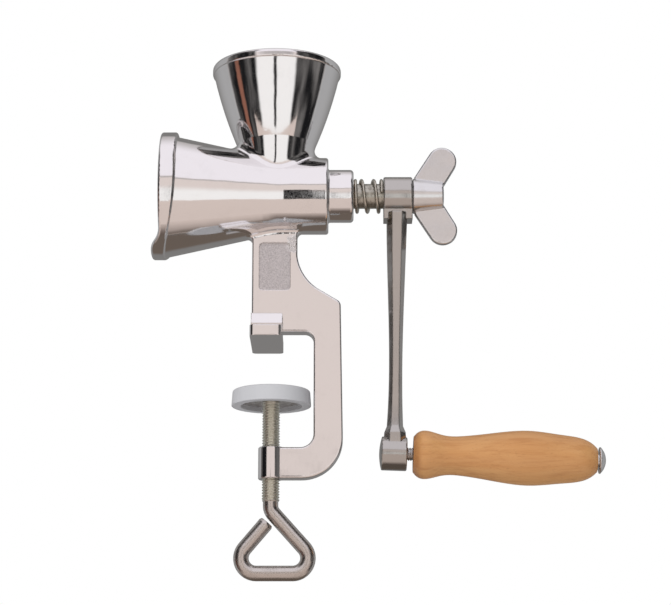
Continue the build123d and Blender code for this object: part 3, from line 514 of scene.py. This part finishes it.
class GRINDER_OT_castings(bpy.types.Operator):
    """Finishes of the body, the crank arm and the wing nut"""

    bl_idname = "grinder.castings"
    bl_label = "Castings"

    def execute(self, context):
        finish = context.scene.grinder_finish
        dress("body_casting", body_material(finish, context.scene.grinder_sizes))
        arm = metal(
            "buffed arm", buffed_group, finish.arm, 0.9 * MM, Roughness=0.10, Waves=0.35,
            Scratches=0.10, Stains=0.15,
        )
        dress("crank_arm", arm)
        nut = metal(
            "satin nut", buffed_group, finish.nut, 0.7 * MM, Roughness=0.15, Waves=0.30,
            Scratches=0.10, Stains=0.15,
        )
        dress("wing_nut", nut)
        return {"FINISHED"}


class GRINDER_OT_drive(bpy.types.Operator):
    """Finishes of the shaft, the burrs and what holds them"""

    bl_idname = "grinder.drive"
    bl_label = "Shaft and burrs"

    def execute(self, context):
        finish = context.scene.grinder_finish
        shaft = metal("turned steel", turned_group, finish.turned, Roughness=0.30, Depth=0.5, Grime=0.5)
        plain = metal("washer steel", turned_group, (0.60, 0.59, 0.57), Roughness=0.28, Depth=0.3, Grime=0.2)
        bronze = metal("bush bronze", turned_group, (0.62, 0.40, 0.17), Roughness=0.30, Depth=0.4, Grime=0.3)
        burr = metal("burr steel", pitted_group, (0.26, 0.255, 0.25), Roughness=0.30, Depth=0.35, Grain=900.0)
        dress("auger_shaft", shaft)
        for node in ("thrust_washer", "cone_washer", "cone_nut"):
            dress(node, plain)
        dress("rear_bush", bronze)
        for node in ("fixed_burr", "grinding_cone"):
            dress(node, burr)
        return {"FINISHED"}


class GRINDER_OT_spring(bpy.types.Operator):
    """Pressure spring between the boss and the crank's hub"""

    bl_idname = "grinder.spring"
    bl_label = "Pressure spring"

    def execute(self, context):
        # A point after u turns is (x, -R sin 2 pi u, R cos 2 pi u) from the shaft, where x
        # goes from one end to the other as half a cosine wave, so that both ends lie flat.
        sizes = context.scene.grinder_sizes
        lowest, highest = box("pressure_spring")
        radius = sizes.wire / 2
        mean = highest[2] - SHAFT[2] - radius
        u = np.linspace(0, sizes.turns, round(sizes.turns * 120) + 1)
        turn = 2 * np.pi * u
        gap = 0.1 * MM
        start = SPRING_FROM + radius + gap
        end = SPRING_TO - radius - gap
        x = start + (end - start) * (1 - np.cos(np.pi * u / sizes.turns)) / 2
        path = np.stack([x, -mean * np.sin(turn), SHAFT[2] + mean * np.cos(turn)], -1)
        coil = pipe("spring_coil", path, directions(path), X, np.full(len(path), radius), 20)
        coil.data.materials.append(
            metal(
                "spring steel", buffed_group, context.scene.grinder_finish.spring, 0.1 * MM, Roughness=0.18,
                Waves=0.2, Scratches=0.2, Stains=0.4,
            )
        )
        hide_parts("pressure_spring")
        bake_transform(coil)
        return {"FINISHED"}


class GRINDER_OT_clamp(bpy.types.Operator):
    """Clamp screw with its thread and bent loop, and the finishes of its pad"""

    bl_idname = "grinder.clamp"
    bl_label = "Clamp"

    def execute(self, context):
        # The straight part is an outline of places and radii, with the thread's groove
        # taken off; the rod follows straight runs and arcs in the plane of X and Z.
        sizes = context.scene.grinder_sizes
        finish = context.scene.grinder_finish
        outline = MM * np.array(
            [
                (-23.4, 3.9), (-23.9, 4.4), (-24.55, 4.4), (-24.55, 2.8), (-26.65, 2.8), (-26.65, 3.5),
                (-27.15, 4.0), (-71.5, 4.0), (-72.1, 3.45), (-75.0, 3.45),
            ]
        )
        straight = evenly(outline, sizes.clamp_pitch / 12)
        grooves = thread(
            -straight[:, 0], STEPS, sizes.clamp_pitch, sizes.clamp_depth, -DISC_BOTTOM + 0.4 * MM, -THREAD_END
        )
        radii = straight[:, 1][:, None] - grooves
        corners = MM * np.array(
            [(0, 0, -72.5), (0, 0, -75.9), (25.2, 0, -104), (-20.9, 0, -104), (-1.6, 0, -81.2)]
        )
        rod = rounded(corners, MM * np.array([5.5, 6.8, 6.8]), 0.9 * MM)
        middle = np.stack([straight[:, 0] * 0, straight[:, 0] * 0, straight[:, 0]], -1)
        # the straight part stops where the bend starts
        upper = middle[:, 2] > rod[:, 2].max() + 0.05 * MM
        path = np.vstack([middle[upper], rod])
        headings = np.vstack([np.tile(-Z, (upper.sum(), 1)), directions(rod)])
        tip = np.minimum(1, np.linalg.norm(rod - rod[-1], axis=1) / (0.6 * MM))
        rod_r = ROD_R - 0.5 * MM * (1 - np.sqrt(1 - (1 - tip) ** 2))
        radii = np.vstack([radii[upper], np.tile(rod_r[:, None], (1, STEPS))])
        screw = pipe("screw_rod", path, headings, Y, radii, STEPS)
        made, w, sockets = material("screw steel", 1.0)
        plated = wear(
            w, sockets, buffed_group, Colour=(*finish.rod, 1), Roughness=0.17, Waves=0.35, Scratches=0.25,
            Stains=0.3, Edges=soft_edges(w, 0.1 * MM),
        )
        place = w.add("ShaderNodeSeparateXYZ", {0: w.place()}).outputs
        # above THREAD_END the screw takes the thread colour, a painted brightening of the rod's steel that
        # makes up for the shade in the grooves, and a rougher surface
        cut = w.ramp(place[2], THREAD_END - 0.0004, THREAD_END + 0.0008)
        w.feed(sockets["Base Color"], w.mix(cut, plated["Colour"], (*finish.thread, 1)))
        w.feed(sockets["Roughness"], w.math("MULTIPLY_ADD", cut, 0.12, plated["Roughness"]))
        screw.data.materials.append(made)
        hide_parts("clamp_screw")
        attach(screw, "screw")
        disc = metal("disc steel", turned_group, finish.disc, Roughness=0.32, Depth=0.3, Grime=0.3)
        dress("pad_disc", disc)
        dress("pad_cap", plastic_material(finish))
        return {"FINISHED"}


class GRINDER_OT_handle(bpy.types.Operator):
    """Bolt through the grip, with its thread and domed head, and the grip's wood"""

    bl_idname = "grinder.handle"
    bl_label = "Handle"

    def execute(self, context):
        # The outline turns round the handle's axis. The head is a cap of a sphere of
        # radius R: its points are (tip - R (1 - cos t), R sin t).
        sizes = context.scene.grinder_sizes
        finish = context.scene.grinder_finish
        head, tip, head_r, shank_r = 92.5, 95.0, 6.0, 3.0
        rise = tip - head
        ball = (head_r**2 + rise**2) / (2 * rise)
        t = np.linspace(math.asin(head_r / ball), 0.02, 24)
        dome = np.stack([tip - ball * (1 - np.cos(t)), ball * np.sin(t)], -1)
        outline = np.array([(-3.1, 2.4), (-2.5, shank_r), (12.0, shank_r)])
        outline = evenly(outline, 0.08)
        seat = head - 0.6
        shank = np.array([(20.0, shank_r), (seat, shank_r), (seat, head_r - 0.25), (seat + 0.25, head_r)])
        outline = MM * np.vstack([outline, shank, dome])
        grooves = thread(outline[:, 0], STEPS, sizes.bolt_pitch, sizes.bolt_depth, -2.5 * MM, 12 * MM)
        path = EYE + outline[:, :1] * HANDLE
        headings = np.tile(HANDLE, (len(path), 1))
        bolt = pipe("bolt", path, headings, Y, outline[:, 1][:, None] - grooves, STEPS)
        bolt.data.materials.append(
            metal(
                "bolt steel", buffed_group, (0.74, 0.735, 0.73), 0.2 * MM, Roughness=0.14, Waves=0.15,
                Scratches=0.2, Stains=0.2,
            )
        )
        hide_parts("handle_bolt")
        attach(bolt, "crank")
        dress("handle_grip", wood_material(finish))
        return {"FINISHED"}


class GRINDER_OT_stage(bpy.types.Operator):
    """Camera, pale floor, soft lamp and the studio round the grinder"""

    bl_idname = "grinder.stage"
    bl_label = "Stage"

    def execute(self, context):
        scene = context.scene
        scene.view_settings.view_transform = "Standard"
        camera = bpy.data.cameras.new("camera")
        camera.sensor_fit = "HORIZONTAL"
        camera.sensor_width = 36.0
        camera.lens = FOCAL_PIXELS / FRAME_PIXELS * camera.sensor_width
        camera.clip_start = 0.01
        holder = bpy.data.objects.new("camera", camera)
        holder.location = CAMERA_PLACE
        holder.rotation_euler = (math.radians(90 + CAMERA_TILT), 0, 0)
        scene.collection.objects.link(holder)
        scene.camera = holder
        self.floor(scene)
        self.cards(scene)
        self.lamps(scene)
        scene.world = self.studio()
        return {"FINISHED"}

    def floor(self, scene):
        """Wide pale floor, below the camera."""
        half = 6.0
        mesh = bpy.data.meshes.new("floor")
        mesh.from_pydata(
            [(-half, -half, FLOOR_Z), (half, -half, FLOOR_Z), (half, half, FLOOR_Z), (-half, half, FLOOR_Z)],
            [], [(0, 1, 2, 3)],
        )
        floor = bpy.data.objects.new("floor", mesh)
        scene.collection.objects.link(floor)
        made, w, sockets = material("floor", 0.0)
        grain = w.noise(w.place(), 6.0, 3.0)
        w.feed(sockets["Base Color"], w.mix(grain, (0.86, 0.86, 0.86, 1), (0.89, 0.89, 0.89, 1)))
        sockets["Roughness"].default_value = 0.9
        mesh.materials.append(made)
        floor.visible_glossy = False

    def cards(self, scene):
        """Upright cards in front that only the metal mirrors: a beige one low down and a dark one."""
        for name, y, left, right, bottom, top, colour in (
            ("beige_card", -0.45, -0.60, 0.60, -1.00, -0.128, (0.72, 0.61, 0.56)),
            ("dark_card", -1.50, -0.12, 0.0206, -0.61, 0.155, (0.012, 0.011, 0.012)),
        ):
            mesh = bpy.data.meshes.new(name)
            corners = ((left, bottom), (right, bottom), (right, top), (left, top))
            mesh.from_pydata([(x, y, z) for x, z in corners], [], [(3, 2, 1, 0)])
            card = bpy.data.objects.new(name, mesh)
            scene.collection.objects.link(card)
            made = bpy.data.materials.new(name)
            made.use_nodes = True
            w = Wiring(made.node_tree)
            glow = w.add("ShaderNodeEmission", {"Color": (*colour, 1), "Strength": 1.0})
            w.add("ShaderNodeOutputMaterial", {"Surface": glow.outputs[0]})
            mesh.materials.append(made)
            for kind in ("camera", "diffuse", "shadow", "transmission", "volume_scatter"):
                setattr(card, "visible_" + kind, False)

    def lamps(self, scene):
        """Two wide soft lamps, above the front and behind."""
        for name, place, watts, width in (
            ("key", (-0.6, -1.5, 0.7), 20.0, 1.2),
            ("rim", (0.9, 1.2, 1.0), 8.0, 1.4),
        ):
            light = bpy.data.lights.new(name, "AREA")
            light.energy = watts
            light.size = width
            lamp = bpy.data.objects.new(name, light)
            lamp.location = place
            aim = Vector((0, 0, 0.02)) - lamp.location
            lamp.rotation_euler = aim.to_track_quat("-Z", "Y").to_euler()
            lamp.visible_glossy = False
            scene.collection.objects.link(lamp)

    def studio(self):
        """White for the camera, plain light for matt faces, and screens that metal mirrors.

        The screens depend on the direction: white in front with a beige part above it, dark
        at both sides with a brown streak, grey behind, lilac white above a thin grey line,
        beige and brown below. They are set to resemble one photograph's reflections.
        """
        world = bpy.data.worlds.new("studio")
        world.use_nodes = True
        world.cycles.sampling_method = "NONE"
        w = Wiring(world.node_tree)
        direction = w.add("ShaderNodeTexCoord").outputs["Generated"]
        way = w.add("ShaderNodeSeparateXYZ", {0: direction}).outputs
        turn = w.math("ARCTAN2", way[0], w.math("MULTIPLY", way[1], -1.0))
        aside = w.math("ABSOLUTE", turn)
        rise = w.math("ARCSINE", way[2])
        deg = math.radians
        back = w.mix(w.ramp(aside, deg(115), deg(175)), (0.42, 0.42, 0.425, 1), (0.22, 0.215, 0.21, 1))
        front = w.mix(w.ramp(rise, deg(-7), deg(6)), (1.0, 0.985, 0.975, 1), (0.80, 0.71, 0.675, 1))
        dark = w.band(aside, deg(37), deg(98), deg(3))
        colour = w.mix(w.ramp(aside, deg(94), deg(102)), front, back)
        patches = w.noise(direction, 3.0, 2.0)
        shade = w.mix(w.ramp(patches, 0.42, 0.72), (0.010, 0.010, 0.011, 1), (0.20, 0.19, 0.185, 1))
        colour = w.mix(dark, colour, shade)
        streak = w.band(turn, deg(-80), deg(-71), deg(1.5))
        streak = w.math("MULTIPLY", streak, w.band(rise, deg(-40), deg(2), deg(6)))
        colour = w.mix(streak, colour, (0.30, 0.13, 0.09, 1))
        forward = w.math("MULTIPLY", way[1], -1.0)
        above = w.mix(w.ramp(forward, -0.5, 0.1), (0.56, 0.53, 0.53, 1), (0.97, 0.93, 0.98, 1))
        ahead = w.math("MULTIPLY", w.ramp(rise, deg(20), deg(22)), w.ramp(aside, deg(36), deg(40), 1.0, 0.0))
        lilac = w.math("MAXIMUM", w.ramp(rise, deg(55), deg(62)), ahead)
        colour = w.mix(lilac, colour, above)
        line = w.band(rise, deg(18.5), deg(20.5), deg(1))
        line = w.math("MULTIPLY", line, w.ramp(aside, deg(26), deg(36), 1.0, 0.0))
        colour = w.mix(line, colour, (0.40, 0.38, 0.38, 1))
        table = w.mix(w.ramp(rise, deg(-88), deg(-60)), (0.13, 0.10, 0.085, 1), (0.68, 0.57, 0.52, 1))
        table = w.mix(w.ramp(aside, deg(70), deg(110)), table, (0.15, 0.12, 0.10, 1))
        colour = w.mix(w.ramp(rise, deg(-42), deg(-30), 1.0, 0.0), colour, table)
        rays = w.add("ShaderNodeLightPath").outputs
        screens = w.add("ShaderNodeBackground", {"Color": colour, "Strength": 1.0}).outputs[0]
        plain = w.add("ShaderNodeBackground", {"Color": (0.98, 0.98, 1.0, 1), "Strength": 0.64}).outputs[0]
        white = w.add("ShaderNodeBackground", {"Color": (1, 1, 1, 1), "Strength": 1.0}).outputs[0]
        mixed = w.add("ShaderNodeMixShader", {0: rays["Is Glossy Ray"], 1: plain, 2: screens}).outputs[0]
        seen = w.math("MAXIMUM", rays["Is Camera Ray"], rays["Is Transmission Ray"])
        mixed = w.add("ShaderNodeMixShader", {0: seen, 1: mixed, 2: white}).outputs[0]
        w.add("ShaderNodeOutputWorld", {"Surface": mixed})
        return world


OPERATORS = (
    GRINDER_OT_stage,
    GRINDER_OT_castings,
    GRINDER_OT_drive,
    GRINDER_OT_spring,
    GRINDER_OT_clamp,
    GRINDER_OT_handle,
)


class GRINDER_PT_sidebar(bpy.types.Panel):
    """Buttons and settings of the grinder"""

    bl_label = "Grinder"
    bl_idname = "GRINDER_PT_sidebar"
    bl_space_type = "VIEW_3D"
    bl_region_type = "UI"
    bl_category = "Grinder"

    def draw(self, context):
        for settings in (context.scene.grinder_sizes, context.scene.grinder_finish):
            column = self.layout.column(align=True)
            for name in settings.bl_rna.properties.keys():
                if name not in ("rna_type", "name"):
                    column.prop(settings, name)
        for operator in OPERATORS:
            self.layout.operator(operator.bl_idname)


CLASSES = (GrinderSizes, GrinderFinish, *OPERATORS, GRINDER_PT_sidebar)


def register():
    for item in CLASSES:
        bpy.utils.register_class(item)
    bpy.types.Scene.grinder_sizes = bpy.props.PointerProperty(type=GrinderSizes)
    bpy.types.Scene.grinder_finish = bpy.props.PointerProperty(type=GrinderFinish)


def unregister():
    del bpy.types.Scene.grinder_sizes
    del bpy.types.Scene.grinder_finish
    for item in reversed(CLASSES):
        bpy.utils.unregister_class(item)


def main():
    """Runs every step in order."""
    register()
    for step in (
        bpy.ops.grinder.stage,
        bpy.ops.grinder.castings,
        bpy.ops.grinder.drive,
        bpy.ops.grinder.spring,
        bpy.ops.grinder.clamp,
        bpy.ops.grinder.handle,
    ):
        step()


if __name__ == "__main__":
    main()
